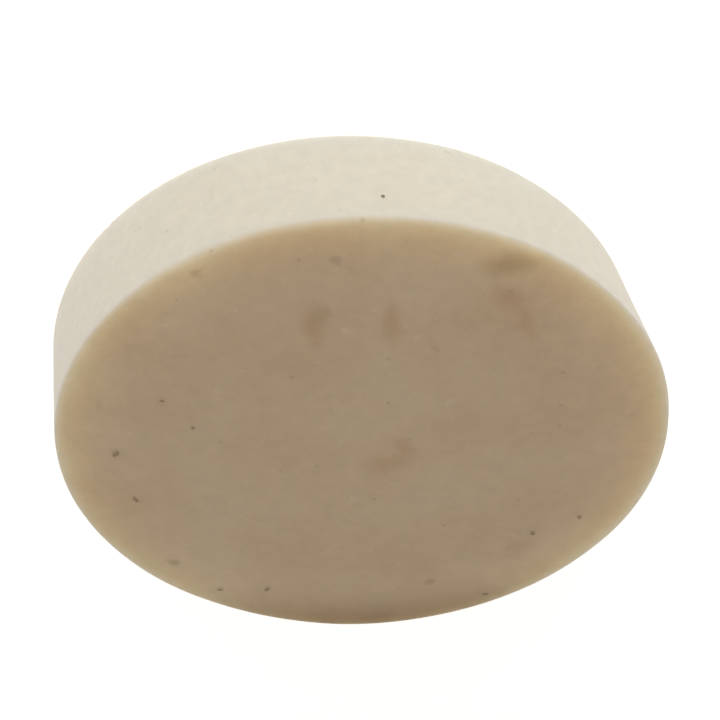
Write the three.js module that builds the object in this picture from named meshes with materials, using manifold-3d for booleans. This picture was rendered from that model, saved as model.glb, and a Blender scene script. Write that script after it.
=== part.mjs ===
// A round, flat puck of shaving soap, lying on one of its two cut faces.
//
// The soap was cast as a round log and sliced. The slicer stood a few degrees off square, so the
// puck's faces are parallel ovals, very nearly circles, and its wall leans. Bits of dried herb
// were stirred into the soap, and the ones that lie in its skin are pieces of their own.
//
// Millimetres, +Z up. The origin is the middle of the puck's box, on the face that it lies on.
// The wall leans along X: its foot is at +X from its top.

import * as THREE from 'three';
import { mergeVertices } from 'three/addons/utils/BufferGeometryUtils.js';
import Module from 'manifold-3d';

// Driving dimensions of the puck
const LOG_DIAMETER = 75;
const THICKNESS = 15.2;
const CUT_LEAN = THREE.MathUtils.degToRad(7.5);
const RIM_RADIUS = 0.7;
const WALL_SIDES = 120;
const RIM_STEPS = 5;

// Every grain is an egg of herb that the skin of the soap cuts in half. A grain is as deep as
// this share of its width, and the soap stands this far clear of it.
const GRAIN_DEPTH_SHARE = 0.5;
const GRAIN_GAP = 0.05;
const GRAIN_DETAIL = 2;

// Grains in the upper face: centre, length, width, and the turn of the long way from +X, degrees
const FACE_GRAINS = [
  { x: 29.5, y: -2.5, length: 1.1, width: 0.5, turn: 45 },
  { x: 28.5, y: 6.5, length: 1.1, width: 0.4, turn: 110 },
  { x: 19.5, y: -6.5, length: 0.5, width: 0.4, turn: 90 },
  { x: 22.5, y: -11.5, length: 0.5, width: 0.4, turn: 20 },
  { x: -29, y: 15, length: 0.7, width: 0.4, turn: 80 },
  { x: -23, y: 18, length: 0.7, width: 0.5, turn: 95 },
  { x: -17, y: 31.5, length: 0.8, width: 0.5, turn: 5 },
  { x: 20, y: 27, length: 0.7, width: 0.5, turn: 0 },
  { x: 13.5, y: 27.5, length: 0.9, width: 0.5, turn: 60 },
];

// Grains in the wall: where they are round the log from +X, degrees, and their height
const WALL_GRAINS = [
  { around: -96, height: 11.5, length: 0.5, width: 0.4, turn: 10 },
];

const wasm = await Module();
wasm.setup();

// A closed geometry as a solid that can be joined and cut. Triangles that a pole has pinched to
// nothing are dropped.
const toSolid = (geometry) => {
  geometry.deleteAttribute('normal');
  geometry.deleteAttribute('uv');
  const merged = mergeVertices(geometry);
  const corners = merged.index.array;
  const kept = [];
  for (let i = 0; i < corners.length; i += 3) {
    const [a, b, c] = corners.slice(i, i + 3);
    if (a !== b && b !== c && c !== a) kept.push(a, b, c);
  }
  return new wasm.Manifold(new wasm.Mesh({
    numProp: 3,
    vertProperties: merged.attributes.position.array,
    triVerts: new Uint32Array(kept),
  }));
};

const toMesh = (solid, name, material) => {
  const { vertProperties, triVerts } = solid.getMesh();
  const geometry = new THREE.BufferGeometry();
  geometry.setAttribute('position', new THREE.BufferAttribute(vertProperties, 3));
  geometry.setIndex(new THREE.BufferAttribute(triVerts, 1));
  geometry.computeVertexNormals();
  const mesh = new THREE.Mesh(geometry, material);
  mesh.name = name;
  return mesh;
};

// How a straight round slice becomes the leaning one: the cut stretches it along X, and each
// height slides along X, from the foot of the wall to its top.
const foot = THICKNESS * Math.tan(CUT_LEAN) / 2;
const lean = new THREE.Matrix4().set(
  1 / Math.cos(CUT_LEAN), 0, -Math.tan(CUT_LEAN), foot,
  0, 1, 0, 0,
  0, 0, 1, 0,
  0, 0, 0, 1,
);

// The slice, turned on a lathe about its axis and then leaned over
const slice = () => {
  const radius = LOG_DIAMETER / 2;
  const inner = radius - RIM_RADIUS;
  const profile = new THREE.Path();
  profile.moveTo(0, 0);
  profile.lineTo(inner, 0);
  profile.absarc(inner, RIM_RADIUS, RIM_RADIUS, -Math.PI / 2, 0, false);
  profile.absarc(inner, THICKNESS - RIM_RADIUS, RIM_RADIUS, 0, Math.PI / 2, false);
  profile.lineTo(0, THICKNESS);
  const points = profile.curves.flatMap((curve, i) => {
    const steps = curve.isLineCurve ? 1 : RIM_STEPS;
    return curve.getPoints(steps).slice(i === 0 ? 0 : 1);
  });
  const geometry = new THREE.LatheGeometry(points, WALL_SIDES);
  geometry.rotateX(Math.PI / 2);
  geometry.applyMatrix4(lean);
  return toSolid(geometry);
};

// An egg of herb, or the hole it leaves when room is more than nothing
const egg = ({ length, width }, room, place) => {
  const size = [length, width, 2 * GRAIN_DEPTH_SHARE * width].map((side) => side + 2 * room);
  const geometry = new THREE.IcosahedronGeometry(0.5, GRAIN_DETAIL);
  geometry.scale(...size);
  geometry.applyMatrix4(place);
  return toSolid(geometry);
};

const turnOf = (grain) => THREE.MathUtils.degToRad(grain.turn);

const onFace = (grain) => new THREE.Matrix4()
  .makeTranslation(grain.x, grain.y, THICKNESS)
  .multiply(new THREE.Matrix4().makeRotationZ(turnOf(grain)));

const onWall = (grain) => {
  const around = THREE.MathUtils.degToRad(grain.around);
  const spot = new THREE.Vector3(Math.cos(around), Math.sin(around), 0)
    .multiplyScalar(LOG_DIAMETER / 2)
    .setZ(grain.height)
    .applyMatrix4(lean);
  return new THREE.Matrix4()
    .makeTranslation(spot)
    .multiply(new THREE.Matrix4().makeRotationZ(around))
    .multiply(new THREE.Matrix4().makeRotationY(Math.PI / 2))
    .multiply(new THREE.Matrix4().makeRotationZ(turnOf(grain)));
};

const grains = [
  ...FACE_GRAINS.map((grain) => ({ grain, place: onFace(grain) })),
  ...WALL_GRAINS.map((grain) => ({ grain, place: onWall(grain) })),
];

const soap = new THREE.MeshStandardMaterial({ color: 0xdfd7c6, roughness: 0.5, metalness: 0 });
const herb = new THREE.MeshStandardMaterial({ color: 0x54432e, roughness: 0.85, metalness: 0 });

const whole = slice();
const puck = new THREE.Group();

const pitted = grains.reduce(
  (solid, { grain, place }) => solid.subtract(egg(grain, GRAIN_GAP, place)),
  whole,
);
puck.add(toMesh(pitted, 'soap_puck', soap));

grains.forEach(({ grain, place }, i) => {
  const number = String(i + 1).padStart(2, '0');
  puck.add(toMesh(egg(grain, 0, place).intersect(whole), `herb_grain_${number}`, herb));
});

export default puck;
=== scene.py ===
import math

import bmesh
import bpy
from mathutils import Matrix, Quaternion, Vector


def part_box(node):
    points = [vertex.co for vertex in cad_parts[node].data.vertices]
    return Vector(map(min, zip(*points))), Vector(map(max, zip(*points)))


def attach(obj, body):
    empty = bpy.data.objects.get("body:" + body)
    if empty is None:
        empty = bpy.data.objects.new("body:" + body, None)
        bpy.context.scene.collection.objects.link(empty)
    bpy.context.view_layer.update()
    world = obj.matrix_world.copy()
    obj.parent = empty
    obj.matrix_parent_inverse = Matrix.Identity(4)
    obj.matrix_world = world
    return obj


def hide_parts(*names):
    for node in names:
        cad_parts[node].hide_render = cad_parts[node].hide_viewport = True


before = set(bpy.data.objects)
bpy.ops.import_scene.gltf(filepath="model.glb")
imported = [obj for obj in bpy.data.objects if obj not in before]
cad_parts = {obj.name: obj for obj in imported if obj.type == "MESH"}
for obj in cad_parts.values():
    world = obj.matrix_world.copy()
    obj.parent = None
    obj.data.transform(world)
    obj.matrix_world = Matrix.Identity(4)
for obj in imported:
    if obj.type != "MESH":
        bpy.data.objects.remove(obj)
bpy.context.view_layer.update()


# The puck: cured hard soap, cast as a round log and cut across with a wire a few degrees off
# square. Its two faces are flat and parallel, its wall leans, and both rims are rubbed round.
# Herb grains lie in its skin, each in a pocket of its own.

MM = 0.001
face_low, face_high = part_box("soap_puck")
THICKNESS = face_high.z - face_low.z
LOG_DIAMETER = face_high.y - face_low.y
CUT_LEAN = math.radians(7.5)
RIM_RADIUS = 0.7 * MM
FOOT = THICKNESS * math.tan(CUT_LEAN) / 2
GRAINS = sorted(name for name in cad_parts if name.startswith("herb_grain"))


def colour(code):
    """An sRGB hex colour as linear light."""
    parts = [int(code[i:i + 2], 16) / 255 for i in (1, 3, 5)]
    return (*(c / 12.92 if c <= 0.04045 else ((c + 0.055) / 1.055) ** 2.4 for c in parts), 1.0)


def add(tree, kind, settings={}, inputs={}):
    """Adds a node. Settings are its properties. Inputs are its sockets in use, by name or by place,
    and each takes a value, a socket, or a node whose first output in use feeds it."""
    node = tree.nodes.new(kind)
    for key, value in settings.items():
        setattr(node, key, value)
    sockets = [s for s in node.inputs if s.enabled]
    pairs = inputs.items() if isinstance(inputs, dict) else enumerate(inputs)
    for key, value in pairs:
        socket = sockets[key] if isinstance(key, int) else next(s for s in sockets if s.name == key)
        if isinstance(value, bpy.types.Node):
            value = next(s for s in value.outputs if s.enabled)
        if isinstance(value, bpy.types.NodeSocket):
            tree.links.new(value, socket)
        else:
            socket.default_value = value
    return node


def new_object(name, shape):
    """A bmesh as an object at the origin, smooth all over."""
    mesh = bpy.data.meshes.new(name)
    for face in shape.faces:
        face.smooth = True
    shape.to_mesh(mesh)
    shape.free()
    made = bpy.data.objects.new(name, mesh)
    bpy.context.scene.collection.objects.link(made)
    return made


# What is taken out of the puck: a pocket round each grain, a hair wider than the grain and open at
# the skin, the nicks of handling on the rims and the wall, and hair scratches in the upper face.
POCKET_ROOM = 1.08
POCKET_LIFT = 0.3 * MM
CUTTER_DETAIL = 3
NICKS = [
    # round the log from +X in degrees, height, then length, width and depth in millimetres
    {"around": 60, "height": 14.9, "length": 1.3, "width": 0.5, "depth": 0.3},
    {"around": -45, "height": 0.5, "length": 0.9, "width": 0.5, "depth": 0.3},
    {"around": -110, "height": 1.5, "length": 1.1, "width": 0.3, "depth": 0.2},
    {"around": 130, "height": 15.0, "length": 1.0, "width": 0.6, "depth": 0.25},
    {"around": -160, "height": 0.3, "length": 1.5, "width": 0.6, "depth": 0.3},
    {"around": 15, "height": 15.0, "length": 0.8, "width": 0.5, "depth": 0.2},
]
SCRATCHES = [
    # in the upper face: place, length and width in millimetres; turn from +X in degrees
    (-30, -6, 1.0, 0.16, 10),
    (-32, -3, 1.2, 0.2, -5),
    (-31, -9, 1.6, 0.07, 75),
    (-32, -8, 1.3, 0.07, 55),
    (-33, -7, 1.1, 0.07, 35),
    (-12, -16, 2.2, 0.06, 25),
    (13, 12, 2.6, 0.06, -40),
]
SCRATCH_DEPTH = 0.07 * MM


def on_wall(around, height):
    """A point of the leaning wall, and the direction that the wall faces there."""
    turn = math.radians(around)
    x = LOG_DIAMETER / 2 * math.cos(turn) / math.cos(CUT_LEAN) + FOOT - height * math.tan(CUT_LEAN)
    return Vector((x, LOG_DIAMETER / 2 * math.sin(turn), height)), turn


cutter_shape = bmesh.new()
for grain in GRAINS:
    low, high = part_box(grain)
    middle = (low + high) / 2
    faces_up = high.z > THICKNESS - RIM_RADIUS / 2
    outward = Vector((0, 0, 1)) if faces_up else Vector((middle.x, middle.y, 0)).normalized()
    points = [middle + (v.co - middle) * POCKET_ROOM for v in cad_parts[grain].data.vertices]
    points += [point + outward * POCKET_LIFT for point in points]
    corners = [cutter_shape.verts.new(point) for point in points]
    hull = bmesh.ops.convex_hull(cutter_shape, input=corners)
    left_over = {part for part in hull["geom_interior"] + hull["geom_unused"]
                 if isinstance(part, bmesh.types.BMVert)}
    bmesh.ops.delete(cutter_shape, geom=list(left_over), context="VERTS")
for nick in NICKS:
    spot, turn = on_wall(nick["around"], nick["height"] * MM)
    size = Matrix.Diagonal((nick["depth"] * MM, nick["length"] / 2 * MM, nick["width"] / 2 * MM, 1))
    place = Matrix.Translation(spot) @ Matrix.Rotation(turn, 4, "Z") @ size
    bmesh.ops.create_icosphere(cutter_shape, subdivisions=CUTTER_DETAIL, radius=1, matrix=place)
for x, y, length, width, turn in SCRATCHES:
    size = Matrix.Diagonal((length / 2 * MM, width / 2 * MM, SCRATCH_DEPTH, 1))
    spot = Matrix.Translation((x * MM, y * MM, THICKNESS))
    place = spot @ Matrix.Rotation(math.radians(turn), 4, "Z") @ size
    bmesh.ops.create_icosphere(cutter_shape, subdivisions=CUTTER_DETAIL, radius=1, matrix=place)
cutters = new_object("cutters", cutter_shape)


# The slice itself follows a rule, so it is a node tree: a finely ruled box is drawn out to a round
# slice, its rims are rounded, it is leaned over, and its skin is given the slight waves and the
# few air holes of a soap that was poured and cut by hand.
MATH = "ShaderNodeMath"
VECTOR = "ShaderNodeVectorMath"
NOISE_LOW, NOISE_HIGH = 0.3, 0.7
LEAST_WEAR, MOST_WEAR = 0.35, 1.1
PATCHES_OF_WEAR = 1.3
HAND_WAVE_LENGTH = 26 * MM
SKIN_WAVE_LENGTH = 3 * MM
SMALLEST_HOLE, LARGEST_HOLE = 0.07 * MM, 0.2 * MM
CRISP_EDGE = math.radians(35)
slicer = bpy.data.node_groups.new("sliced_puck", "GeometryNodeTree")
slicer.interface.new_socket("Geometry", in_out="OUTPUT", socket_type="NodeSocketGeometry")
slice_inputs = {}
for name, kind, value in (
    ("Log Diameter", "NodeSocketFloat", LOG_DIAMETER),
    ("Thickness", "NodeSocketFloat", THICKNESS),
    ("Cut Lean", "NodeSocketFloat", CUT_LEAN),
    ("Rim Radius", "NodeSocketFloat", RIM_RADIUS),
    ("Rows Across", "NodeSocketInt", 161),
    ("Rows Up", "NodeSocketInt", 37),
    ("Hand Waves", "NodeSocketFloat", 0.25 * MM),
    ("Skin Waves", "NodeSocketFloat", 0.02 * MM),
    ("Holes Each Square Metre", "NodeSocketFloat", 4000.0),
    ("Seed", "NodeSocketInt", 7),
    ("Cutters", "NodeSocketObject", cutters),
    ("Material", "NodeSocketMaterial", None),
):
    socket = slicer.interface.new_socket(name, in_out="INPUT", socket_type=kind)
    slice_inputs[name] = (socket.identifier, value)

given = add(slicer, "NodeGroupInput").outputs
ruled_box = add(slicer, "GeometryNodeMeshCube", inputs={
    "Size": (2, 2, 2), "Vertices X": given["Rows Across"], "Vertices Y": given["Rows Across"],
    "Vertices Z": given["Rows Up"]})
place = add(slicer, "GeometryNodeInputPosition")
x, y, z = add(slicer, "ShaderNodeSeparateXYZ", inputs=[place]).outputs

# The square becomes a disc of even cells: each ring of the square becomes a ring of the disc.
size_x = add(slicer, MATH, {"operation": "ABSOLUTE"}, [x])
size_y = add(slicer, MATH, {"operation": "ABSOLUTE"}, [y])
wide = add(slicer, MATH, {"operation": "GREATER_THAN"}, [size_x, size_y])
reach = add(slicer, "ShaderNodeMix", inputs=[wide, y, x])
short = add(slicer, "ShaderNodeMix", inputs=[wide, x, y])
share = add(slicer, MATH, {"operation": "DIVIDE"}, [short, reach])
swing = add(slicer, MATH, {"operation": "MULTIPLY"}, [share, math.pi / 4])
along = add(slicer, MATH, {"operation": "COSINE"}, [swing])
across = add(slicer, MATH, {"operation": "SINE"}, [swing])
ray_x = add(slicer, "ShaderNodeMix", inputs=[wide, across, along])
ray_y = add(slicer, "ShaderNodeMix", inputs=[wide, along, across])

# Rows crowd towards the rims, where the surface turns fastest.
CROWDING = 0.45 / math.pi
crowded = []
for way in (reach, z):
    phase = add(slicer, MATH, {"operation": "MULTIPLY"}, [way, math.pi])
    ripple = add(slicer, MATH, {"operation": "SINE"}, [phase])
    crowded.append(add(slicer, MATH, {"operation": "MULTIPLY_ADD"}, [ripple, CROWDING, way]))
radius = add(slicer, MATH, {"operation": "MULTIPLY"}, [given["Log Diameter"], 0.5])
half_height = add(slicer, MATH, {"operation": "MULTIPLY"}, [given["Thickness"], 0.5])
signed_reach = add(slicer, MATH, {"operation": "MULTIPLY"}, [crowded[0], radius])
ray = add(slicer, "ShaderNodeCombineXYZ", inputs=[ray_x, ray_y, 0.0])
flat_place = add(slicer, VECTOR, {"operation": "SCALE"}, {"Vector": ray, "Scale": signed_reach})
heading = add(slicer, VECTOR, {"operation": "NORMALIZE"}, [flat_place])
from_axis = add(slicer, MATH, {"operation": "ABSOLUTE"}, [signed_reach])
height = add(slicer, MATH, {"operation": "MULTIPLY_ADD"}, [crowded[1], half_height, half_height])

# Both rims are rounded, more in some places than in others, as wiping has left them. Every point
# is pushed out from the nearest point of the core.
up = add(slicer, "ShaderNodeCombineXYZ", inputs=[0.0, 0.0, z])
rim_place = add(slicer, VECTOR, {"operation": "ADD"}, [heading, up])
wear = add(slicer, "ShaderNodeTexNoise", inputs={
    "Vector": rim_place, "Scale": PATCHES_OF_WEAR, "Detail": 1.0})
wear_share = add(slicer, "ShaderNodeMapRange", inputs={
    "Value": wear, "From Min": NOISE_LOW, "From Max": NOISE_HIGH,
    "To Min": LEAST_WEAR, "To Max": MOST_WEAR})
rim = add(slicer, MATH, {"operation": "MULTIPLY"}, [given["Rim Radius"], wear_share])
core_radius = add(slicer, MATH, {"operation": "SUBTRACT"}, [radius, rim])
core_top = add(slicer, MATH, {"operation": "SUBTRACT"}, [given["Thickness"], rim])
core_reach = add(slicer, MATH, {"operation": "MINIMUM"}, [from_axis, core_radius])
core_height = add(slicer, "ShaderNodeClamp", inputs=[height, rim, core_top])
core = add(slicer, "ShaderNodeCombineXYZ", inputs=[core_reach, 0.0, core_height])
section = add(slicer, "ShaderNodeCombineXYZ", inputs=[from_axis, 0.0, height])
outward = add(slicer, VECTOR, {"operation": "SUBTRACT"}, [section, core])
outward = add(slicer, VECTOR, {"operation": "NORMALIZE"}, [outward])
skin = add(slicer, VECTOR, {"operation": "SCALE"}, {"Vector": outward, "Scale": rim})
skin = add(slicer, VECTOR, {"operation": "ADD"}, [core, skin])
skin_reach, _, skin_height = add(slicer, "ShaderNodeSeparateXYZ", inputs=[skin]).outputs

# The cut off square stretches the slice along X and slides it along X with height.
round_place = add(slicer, VECTOR, {"operation": "SCALE"}, {"Vector": heading, "Scale": skin_reach})
round_x, round_y, _ = add(slicer, "ShaderNodeSeparateXYZ", inputs=[round_place]).outputs
cosine = add(slicer, MATH, {"operation": "COSINE"}, [given["Cut Lean"]])
tangent = add(slicer, MATH, {"operation": "TANGENT"}, [given["Cut Lean"]])
stretched = add(slicer, MATH, {"operation": "DIVIDE"}, [round_x, cosine])
below_middle = add(slicer, MATH, {"operation": "SUBTRACT"}, [half_height, skin_height])
leaned = add(slicer, MATH, {"operation": "MULTIPLY_ADD"}, [below_middle, tangent, stretched])
slice_place = add(slicer, "ShaderNodeCombineXYZ", inputs=[leaned, round_y, skin_height])
sliced = add(slicer, "GeometryNodeSetPosition", inputs={"Geometry": ruled_box, "Position": slice_place})

# The skin is moved in and out by slow waves from the hand, and by the finer ones of a cured surface.
push_out = 0.0
for wave_length, depth in (
    (HAND_WAVE_LENGTH, given["Hand Waves"]), (SKIN_WAVE_LENGTH, given["Skin Waves"]),
):
    waves = add(slicer, "ShaderNodeTexNoise", inputs={
        "Vector": place, "Scale": 1 / wave_length, "Detail": 1.0, "Roughness": 0.4})
    level = add(slicer, MATH, {"operation": "SUBTRACT"}, [waves, 0.5])
    push_out = add(slicer, MATH, {"operation": "MULTIPLY_ADD"}, [level, depth, push_out])
normal = add(slicer, "GeometryNodeInputNormal")
push = add(slicer, VECTOR, {"operation": "SCALE"}, {"Vector": normal, "Scale": push_out})
waved = add(slicer, "GeometryNodeSetPosition", inputs={"Geometry": sliced, "Offset": push})

# Air holes: small balls set on the skin and taken out of it, with the cutters above.
spots = add(slicer, "GeometryNodeDistributePointsOnFaces", inputs={
    "Mesh": waved, "Density": given["Holes Each Square Metre"], "Seed": given["Seed"]})
ball = add(slicer, "GeometryNodeMeshIcoSphere", inputs={"Radius": 1.0, "Subdivisions": 2})
ball_size = add(slicer, "FunctionNodeRandomValue", {"data_type": "FLOAT"}, {
    "Min": SMALLEST_HOLE, "Max": LARGEST_HOLE, "Seed": given["Seed"]})
balls = add(slicer, "GeometryNodeInstanceOnPoints", inputs={
    "Points": spots, "Instance": ball, "Scale": ball_size})
balls = add(slicer, "GeometryNodeRealizeInstances", inputs=[balls])
cutter_info = add(slicer, "GeometryNodeObjectInfo", inputs={"Object": given["Cutters"]})
pitted = add(slicer, "GeometryNodeMeshBoolean", {"operation": "DIFFERENCE", "solver": "MANIFOLD"}, {
    "Mesh 1": waved, "Mesh 2": balls})
pitted = add(slicer, "GeometryNodeMeshBoolean", {"operation": "DIFFERENCE", "solver": "MANIFOLD"}, {
    "Mesh 1": pitted, "Mesh 2": cutter_info.outputs["Geometry"]})

# The mouths of the holes stay crisp, and the rest is smooth.
bend = add(slicer, "GeometryNodeInputMeshEdgeAngle")
crisp = add(slicer, MATH, {"operation": "LESS_THAN"}, [bend, CRISP_EDGE])
smooth = add(slicer, "GeometryNodeSetShadeSmooth", {"domain": "FACE"}, {
    "Geometry": pitted, "Shade Smooth": True})
smooth = add(slicer, "GeometryNodeSetShadeSmooth", {"domain": "EDGE"}, {
    "Geometry": smooth, "Shade Smooth": crisp})
plain = add(slicer, "GeometryNodeRealizeInstances", inputs=[smooth])
finished = add(slicer, "GeometryNodeSetMaterial", inputs={"Geometry": plain, "Material": given["Material"]})
add(slicer, "NodeGroupOutput", inputs=[finished])

# Cured hard soap: opaque to a glance, but light goes some millimetres into it and comes out warm,
# so the rims glow where light gets behind them and a face in shade turns tan; the glow and the tan
# are also painted into its colour below. Wiped and handled, it has a satin skin. Oil has turned
# orange in a few soft-edged spots of the upper face.
BARE_SOAP = "#e4e1d4"
# The cut faces' warmer tan is partly their own tone and partly painted shade.
SHADED_CUT_FACE = "#e2d5bd"
# Painted glow: a yellower band inside each rim of a cut face, standing in for light come through the wall.
RIM_PAINTED_GLOW = "#ece1c6"
# Painted shade: the browner rim of a cut face at the +Y side.
FAR_RIM_PAINTED_SHADE = "#9f8b6f"
WARM_CLOUD = "#dcc5a8"
ORANGE_OIL = "#c4a076"
OLIVE_OIL = "#b7a273"
HERB_STAIN = "#9c8c68"
PALE_FLECK = "#f4ede0"
RIM_GLOW_WIDTH = 15 * MM
FAR_SHADE_WIDTH = 17 * MM
FAR_SHADE_START, FAR_SHADE_END = 24 * MM, 40 * MM
CLOUD_SIZE = 14 * MM
MOTTLE_SIZE = 1.6 * MM
RAGGED_SIZE = 1.8 * MM
WANDER = 1.6 * MM
FLECK_HEART = 0.3
STAIN_EDGE, STAIN_HEART = 1.7, 0.1
STAIN_DEPTH = 2 * MM
GRIT_SIZE = 0.35 * MM
LIGHT_DEPTH = 6 * MM
STAINS = [
    # place, length, width in millimetres; turn of the long way from +X, degrees; strength; colour
    (4, -22, 5, 2, 100, 0.36, ORANGE_OIL),
    (3, -24, 3, 2, 90, 0.3, OLIVE_OIL),
    (-5, -22, 6, 2, 90, 0.36, ORANGE_OIL),
    (-18, -25, 4, 3, 120, 0.36, ORANGE_OIL),
    (-20, -21, 5, 2, 105, 0.3, ORANGE_OIL),
    (-18, -30, 6, 3, 5, 0.45, OLIVE_OIL),
    (-4, 2, 6, 3, 10, 0.28, ORANGE_OIL),
    (-6, -1, 2, 3, 20, 0.32, ORANGE_OIL),
    (-21, 21, 5, 3, 40, 0.2, ORANGE_OIL),
]

soap = bpy.data.materials.new("cured_soap_satin")
soap.use_nodes = True
look = soap.node_tree
look.nodes.clear()
object_place = add(look, "ShaderNodeTexCoord").outputs["Object"]

# Inset: how far a point is inwards from the log's own skin, which leans as the cut does
from_foot = add(look, VECTOR, {"operation": "SUBTRACT"}, [object_place, (FOOT, 0, 0)])
off_axis = add(look, VECTOR, {"operation": "CROSS_PRODUCT"}, [
    from_foot, (-math.sin(CUT_LEAN), 0, math.cos(CUT_LEAN))])
from_axis = add(look, VECTOR, {"operation": "LENGTH"}, [off_axis])
inset = add(look, MATH, {"operation": "SUBTRACT"}, [LOG_DIAMETER / 2, from_axis])

# The wall is paler than the cut faces, whose warmer tone is partly painted shade. A cut face is
# painted yellower close to its rim, a painted glow, and the rim at the +Y side is painted browner,
# a painted shade.
_, far_way, _ = add(look, "ShaderNodeSeparateXYZ", inputs=[object_place]).outputs
far_shade = add(look, "ShaderNodeMapRange", {"interpolation_type": "SMOOTHSTEP"}, {
    "Value": far_way, "From Min": FAR_SHADE_START, "From Max": FAR_SHADE_END})
rim_glow_and_shade = add(look, "ShaderNodeMix", {"data_type": "RGBA"}, [far_shade, colour(RIM_PAINTED_GLOW), colour(FAR_RIM_PAINTED_SHADE)])
rim_width = add(look, "ShaderNodeMapRange", inputs={
    "Value": far_shade, "To Min": RIM_GLOW_WIDTH, "To Max": FAR_SHADE_WIDTH})
on_face = add(look, "ShaderNodeMapRange", {"interpolation_type": "SMOOTHSTEP"}, {
    "Value": inset, "From Min": -0.1 * MM, "From Max": 0.4 * MM})
off_rim = add(look, "ShaderNodeMapRange", {"interpolation_type": "SMOOTHSTEP"}, {
    "Value": inset, "From Min": -2 * MM, "From Max": rim_width})
face_tone = add(look, "ShaderNodeMix", {"data_type": "RGBA"}, [off_rim, rim_glow_and_shade, colour(SHADED_CUT_FACE)])
tone = add(look, "ShaderNodeMix", {"data_type": "RGBA"}, [on_face, colour(BARE_SOAP), face_tone])

# Broad clouds of a warmer tone, and a fine mottle
clouds = add(look, "ShaderNodeTexNoise", inputs={
    "Vector": object_place, "Scale": 1 / CLOUD_SIZE, "Detail": 2.0, "Roughness": 0.5})
cloud_most = add(look, "ShaderNodeMapRange", inputs={"Value": on_face, "To Min": 0.08, "To Max": 0.4})
cloudy = add(look, "ShaderNodeMapRange", inputs={
    "Value": clouds, "From Min": 0.35, "From Max": 0.7, "To Max": cloud_most})
tone = add(look, "ShaderNodeMix", {"data_type": "RGBA"}, [cloudy, tone, colour(WARM_CLOUD)])
mottle = add(look, "ShaderNodeTexNoise", inputs={
    "Vector": object_place, "Scale": 1 / MOTTLE_SIZE, "Detail": 3.0, "Roughness": 0.6})
shade = add(look, "ShaderNodeMapRange", inputs={
    "Value": mottle, "From Min": NOISE_LOW, "From Max": NOISE_HIGH, "To Min": 0.96, "To Max": 1.03})
tone = add(look, VECTOR, {"operation": "SCALE"}, {"Vector": tone, "Scale": shade})

# A place that wanders by up to half of WANDER, so that what is drawn round it has a broken edge
ragged = add(look, "ShaderNodeTexNoise", inputs={
    "Vector": object_place, "Scale": 1 / RAGGED_SIZE, "Detail": 2.0, "Roughness": 0.5})
ragged_vector = add(look, VECTOR, {"operation": "SUBTRACT"}, [ragged.outputs["Color"], (0.5, 0.5, 0.5)])
wandering = add(look, VECTOR, {"operation": "SCALE"}, {"Vector": ragged_vector, "Scale": WANDER})
broken_place = add(look, VECTOR, {"operation": "ADD"}, [object_place, wandering])

# Flecks all through the soap, each a ball cut by the skin: unmelted white soap, herb dust, and the
# broader smudges of both. A fleck sits at the heart of a cell, and only a few cells have one.
for where, cell, fleck_radius, few, on_wall_strength, on_face_strength, code in (
    (object_place, 1.7 * MM, 0.35 * MM, 0.3, 0.35, 0.25, PALE_FLECK),
    (object_place, 2.3 * MM, 0.4 * MM, 0.2, 0.12, 0.26, HERB_STAIN),
    (broken_place, 4 * MM, 0.8 * MM, 0.12, 0, 0.3, PALE_FLECK),
    (broken_place, 5 * MM, 1.1 * MM, 0.22, 0, 0.3, HERB_STAIN),
):
    cells = add(look, "ShaderNodeTexVoronoi", inputs={"Vector": where, "Scale": 1 / cell})
    chance, _, _ = add(look, "ShaderNodeSeparateColor", inputs=[cells.outputs["Color"]]).outputs
    has_one = add(look, MATH, {"operation": "LESS_THAN"}, [chance, few])
    strength = add(look, "ShaderNodeMapRange", inputs={
        "Value": on_face, "To Min": on_wall_strength, "To Max": on_face_strength})
    fleck = add(look, "ShaderNodeMapRange", {"interpolation_type": "SMOOTHSTEP"}, {
        "Value": cells.outputs["Distance"], "From Min": fleck_radius / cell,
        "From Max": FLECK_HEART * fleck_radius / cell, "To Max": strength})
    fleck = add(look, MATH, {"operation": "MULTIPLY"}, [fleck, has_one])
    tone = add(look, "ShaderNodeMix", {"data_type": "RGBA"}, [fleck, tone, colour(code)])

# The oil stains of the upper face: each is an oval round its place, with an edge broken by noise
for x, y, length, width, turn, strength, code in STAINS:
    oval = add(look, "ShaderNodeMapping", {"vector_type": "TEXTURE"}, {
        "Vector": broken_place, "Location": (x * MM, y * MM, THICKNESS),
        "Rotation": (0, 0, math.radians(turn)), "Scale": (length / 2 * MM, width / 2 * MM, STAIN_DEPTH)})
    away = add(look, VECTOR, {"operation": "LENGTH"}, [oval])
    inside = add(look, "ShaderNodeMapRange", {"interpolation_type": "SMOOTHSTEP"}, {
        "Value": away, "From Min": STAIN_EDGE, "From Max": STAIN_HEART, "To Max": strength})
    tone = add(look, "ShaderNodeMix", {"data_type": "RGBA"}, [inside, tone, colour(code)])

grit = add(look, "ShaderNodeTexNoise", inputs={
    "Vector": object_place, "Scale": 1 / GRIT_SIZE, "Detail": 3.0, "Roughness": 0.6})
bump = add(look, "ShaderNodeBump", inputs={"Strength": 0.25, "Distance": 0.03 * MM, "Height": grit})
polish = add(look, "ShaderNodeMapRange", inputs={"Value": mottle, "To Min": 0.42, "To Max": 0.6})
surface = add(look, "ShaderNodeBsdfPrincipled", inputs={
    "Base Color": tone, "Roughness": polish, "IOR": 1.46, "Normal": bump, "Subsurface Weight": 1.0,
    "Subsurface Radius": (1.0, 0.93, 0.8), "Subsurface Scale": LIGHT_DEPTH})
add(look, "ShaderNodeOutputMaterial", inputs=[surface])

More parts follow.
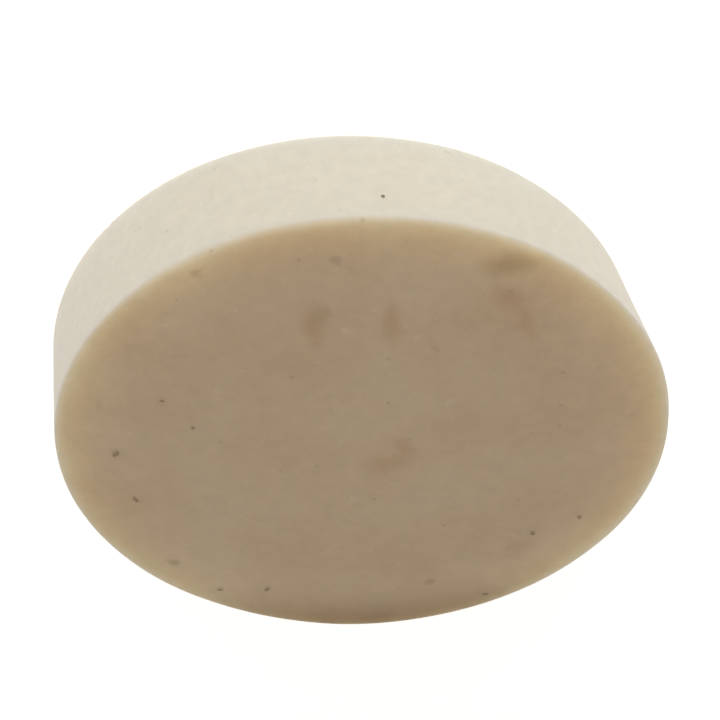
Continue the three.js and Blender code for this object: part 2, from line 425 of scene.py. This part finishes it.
puck = bpy.data.objects.new("soap_puck_body", bpy.data.meshes.new("soap_puck_body"))
bpy.context.scene.collection.objects.link(puck)
slicing = puck.modifiers.new("slice", "NODES")
slicing.node_group = slicer
for identifier, value in slice_inputs.values():
    slicing[identifier] = soap if value is None else value
puck_mesh = bpy.data.meshes.new_from_object(puck.evaluated_get(bpy.context.evaluated_depsgraph_get()))
puck.modifiers.clear()
puck.data = puck_mesh
bpy.data.objects.remove(cutters)
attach(puck, "root")
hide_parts("soap_puck")


# The herb grains: bits of dried leaf and stalk that were stirred into the poured soap. The wire
# cut the ones in the face, so they lie flush, with a torn and crumbled surface.
GRAIN_TEAR = 0.06 * MM
GRAIN_TEAR_SIZE = 0.22 * MM

tearer = bpy.data.node_groups.new("torn_grain", "GeometryNodeTree")
tearer.interface.new_socket("Geometry", in_out="OUTPUT", socket_type="NodeSocketGeometry")
tear_inputs = {}
for name, kind in (
    ("Grain", "NodeSocketObject"), ("Tear", "NodeSocketFloat"), ("Tear Size", "NodeSocketFloat"),
    ("Material", "NodeSocketMaterial"),
):
    tear_inputs[name] = tearer.interface.new_socket(name, in_out="INPUT", socket_type=kind).identifier
given = add(tearer, "NodeGroupInput").outputs
solid = add(tearer, "GeometryNodeObjectInfo", inputs={"Object": given["Grain"]}).outputs["Geometry"]
solid = add(tearer, "GeometryNodeConvexHull", inputs=[solid])
solid = add(tearer, "GeometryNodeSubdivideMesh", inputs={"Mesh": solid, "Level": 1})
pattern_scale = add(tearer, MATH, {"operation": "DIVIDE"}, [1.0, given["Tear Size"]])
torn = add(tearer, "ShaderNodeTexNoise", inputs={"Scale": pattern_scale, "Detail": 2.0})
tear = add(tearer, MATH, {"operation": "SUBTRACT"}, [torn, 0.55])
tear = add(tearer, MATH, {"operation": "MULTIPLY"}, [tear, given["Tear"]])
normal = add(tearer, "GeometryNodeInputNormal")
push = add(tearer, VECTOR, {"operation": "SCALE"}, {"Vector": normal, "Scale": tear})
solid = add(tearer, "GeometryNodeSetPosition", inputs={"Geometry": solid, "Offset": push})
solid = add(tearer, "GeometryNodeSetShadeSmooth", inputs={"Geometry": solid, "Shade Smooth": True})
solid = add(tearer, "GeometryNodeRealizeInstances", inputs=[solid])
solid = add(tearer, "GeometryNodeSetMaterial", inputs={"Geometry": solid, "Material": given["Material"]})
add(tearer, "NodeGroupOutput", inputs=[solid])

# Dried herb: dull, dark, brown in some grains and greener in others. A thin film of soap lies over
# the grains in the face.
SOAP_FILM = 0.45
FIBRE_SIZE = 0.25 * MM
LEAF_PATCH_SIZE = 9 * MM
herb = bpy.data.materials.new("dried_herb_cut")
herb.use_nodes = True
look = herb.node_tree
look.nodes.clear()
object_place = add(look, "ShaderNodeTexCoord").outputs["Object"]
fibre = add(look, "ShaderNodeTexNoise", inputs={
    "Vector": object_place, "Scale": 1 / FIBRE_SIZE, "Detail": 3.0})
leaf = add(look, "ShaderNodeTexNoise", inputs={"Vector": object_place, "Scale": 1 / LEAF_PATCH_SIZE})
stalk_tone = add(look, "ShaderNodeMix", {"data_type": "RGBA"}, [fibre, colour("#6f5b41"), colour("#9b825f")])
leaf_tone = add(look, "ShaderNodeMix", {"data_type": "RGBA"}, [fibre, colour("#857754"), colour("#a89b74")])
tone = add(look, "ShaderNodeMix", {"data_type": "RGBA"}, [leaf, stalk_tone, leaf_tone])
_, _, up_way = add(look, "ShaderNodeSeparateXYZ", inputs=[object_place]).outputs
film = add(look, "ShaderNodeMapRange", inputs={
    "Value": up_way, "From Min": THICKNESS - 1.5 * MM, "From Max": THICKNESS - 0.5 * MM, "To Max": SOAP_FILM})
# The film takes the cut face's tone, so it holds the same partly painted shade.
tone = add(look, "ShaderNodeMix", {"data_type": "RGBA"}, [film, tone, colour(SHADED_CUT_FACE)])
bump = add(look, "ShaderNodeBump", inputs={"Strength": 0.6, "Distance": 0.05 * MM, "Height": fibre})
surface = add(look, "ShaderNodeBsdfPrincipled", inputs={
    "Base Color": tone, "Roughness": 0.85, "Normal": bump})
add(look, "ShaderNodeOutputMaterial", inputs=[surface])

for grain in GRAINS:
    piece = bpy.data.objects.new(grain + "_torn", bpy.data.meshes.new(grain + "_torn"))
    bpy.context.scene.collection.objects.link(piece)
    tearing = piece.modifiers.new("tear", "NODES")
    tearing.node_group = tearer
    for name, value in (("Grain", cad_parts[grain]), ("Tear", GRAIN_TEAR),
                        ("Tear Size", GRAIN_TEAR_SIZE), ("Material", herb)):
        tearing[tear_inputs[name]] = value
    mesh = bpy.data.meshes.new_from_object(piece.evaluated_get(bpy.context.evaluated_depsgraph_get()))
    piece.modifiers.clear()
    piece.data = mesh
    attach(piece, "root")
    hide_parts(grain)


# The floor: a plain pale studio table, wide enough to fill the view from any side
FLOOR_SIZE = 3.0
floor_shape = bmesh.new()
bmesh.ops.create_grid(floor_shape, x_segments=1, y_segments=1, size=FLOOR_SIZE / 2)
lowest = min(v.co.z for v in puck.data.vertices)
bmesh.ops.translate(floor_shape, vec=(0, 0, lowest), verts=floor_shape.verts)
floor = new_object("floor", floor_shape)
white = bpy.data.materials.new("white_table")
white.use_nodes = True
table = white.node_tree.nodes["Principled BSDF"]
table.inputs["Base Color"].default_value = colour("#f6f6f6")
table.inputs["Roughness"].default_value = 0.9
table.inputs["Specular IOR Level"].default_value = 0.1
table.inputs["Emission Color"].default_value = (1, 1, 1, 1)
# It shines everywhere except under the puck and in a strip at the puck's +Y side: there the table is dark, a
# painted shadow.
TABLE_SHINE = 0.7
PAINTED_SHADOW_REACH = 16 * MM
PAINTED_SHADOW_EDGE = 1.2 * MM
table_look = white.node_tree
table_place = add(table_look, "ShaderNodeTexCoord").outputs["Object"]
beside_foot = add(table_look, VECTOR, {"operation": "SUBTRACT"}, [table_place, (FOOT, 0, lowest)])
beside_x, beside_y, _ = add(table_look, "ShaderNodeSeparateXYZ", inputs=[beside_foot]).outputs
in_strip = add(table_look, "ShaderNodeClamp", inputs=[beside_y, 0.0, PAINTED_SHADOW_REACH])
past_strip = add(table_look, MATH, {"operation": "SUBTRACT"}, [beside_y, in_strip])
off_painted_shadow = add(table_look, "ShaderNodeCombineXYZ", inputs=[beside_x, past_strip, 0.0])
to_painted_shadow = add(table_look, VECTOR, {"operation": "LENGTH"}, [off_painted_shadow])
shine = add(table_look, "ShaderNodeMapRange", inputs={
    "Value": to_painted_shadow, "From Min": LOG_DIAMETER / 2 - PAINTED_SHADOW_EDGE, "From Max": LOG_DIAMETER / 2,
    "To Max": TABLE_SHINE})
table_look.links.new(shine.outputs[0], table.inputs["Emission Strength"])
floor.data.materials.append(white)


# Soft studio light: a broad low key from the front onto the wall, weak warm light from above, and
# a pale room all round
def soft_light(name, place, target, size, power, tint):
    lamp = bpy.data.lights.new(name, "AREA")
    lamp.shape = "DISK"
    lamp.size = size
    lamp.energy = power
    lamp.color = colour(tint)[:3]
    made = bpy.data.objects.new(name, lamp)
    made.location = place
    made.rotation_mode = "QUATERNION"
    made.rotation_quaternion = (Vector(target) - Vector(place)).to_track_quat("-Z", "Y")
    bpy.context.scene.collection.objects.link(made)


soft_light("key_front", (0.02, -0.55, 0.12), (0, 0, 0.008), 0.5, 0.94, "#ffffff")
soft_light("warm_overhead", (0.05, -0.05, 0.8), (0, 0, 0), 0.6, 1.8, "#ffe4c4")

# The room is brighter for the camera than it is as a light.
ROOM_LIGHT, ROOM_BACKDROP = 0.18, 1.0
world = bpy.data.worlds.new("pale_room")
world.use_nodes = True
room = world.node_tree.nodes["Background"]
room.inputs["Color"].default_value = colour("#f4f4f4")
straight = add(world.node_tree, "ShaderNodeLightPath").outputs["Is Camera Ray"]
backdrop = add(world.node_tree, "ShaderNodeMapRange", inputs={
    "Value": straight, "To Min": ROOM_LIGHT, "To Max": ROOM_BACKDROP})
world.node_tree.links.new(backdrop.outputs[0], room.inputs["Strength"])
bpy.context.scene.world = world
bpy.context.scene.view_settings.view_transform = "Standard"


# The camera looks down on the upper face and is turned over, so the wall shows above the face
EYE_HEIGHT_ANGLE = math.radians(40.9)
EYE_DISTANCE = 163 * MM
ROLL = math.radians(183.1)
LENS = 65.4
AIM_OFF_MIDDLE = Vector((-0.1, -7.7, -8.9)) * MM
lens = bpy.data.cameras.new("camera")
lens.lens = LENS
lens.clip_start = 0.01
top_middle = Vector((-FOOT, 0, THICKNESS))
eye = top_middle + EYE_DISTANCE * Vector((0, -math.cos(EYE_HEIGHT_ANGLE), math.sin(EYE_HEIGHT_ANGLE)))
aim = top_middle + AIM_OFF_MIDDLE
camera = bpy.data.objects.new("camera", lens)
camera.location = eye
camera.rotation_mode = "QUATERNION"
camera.rotation_quaternion = (aim - eye).to_track_quat("-Z", "Y") @ Quaternion((0, 0, 1), -ROLL)
bpy.context.scene.collection.objects.link(camera)
bpy.context.scene.camera = camera
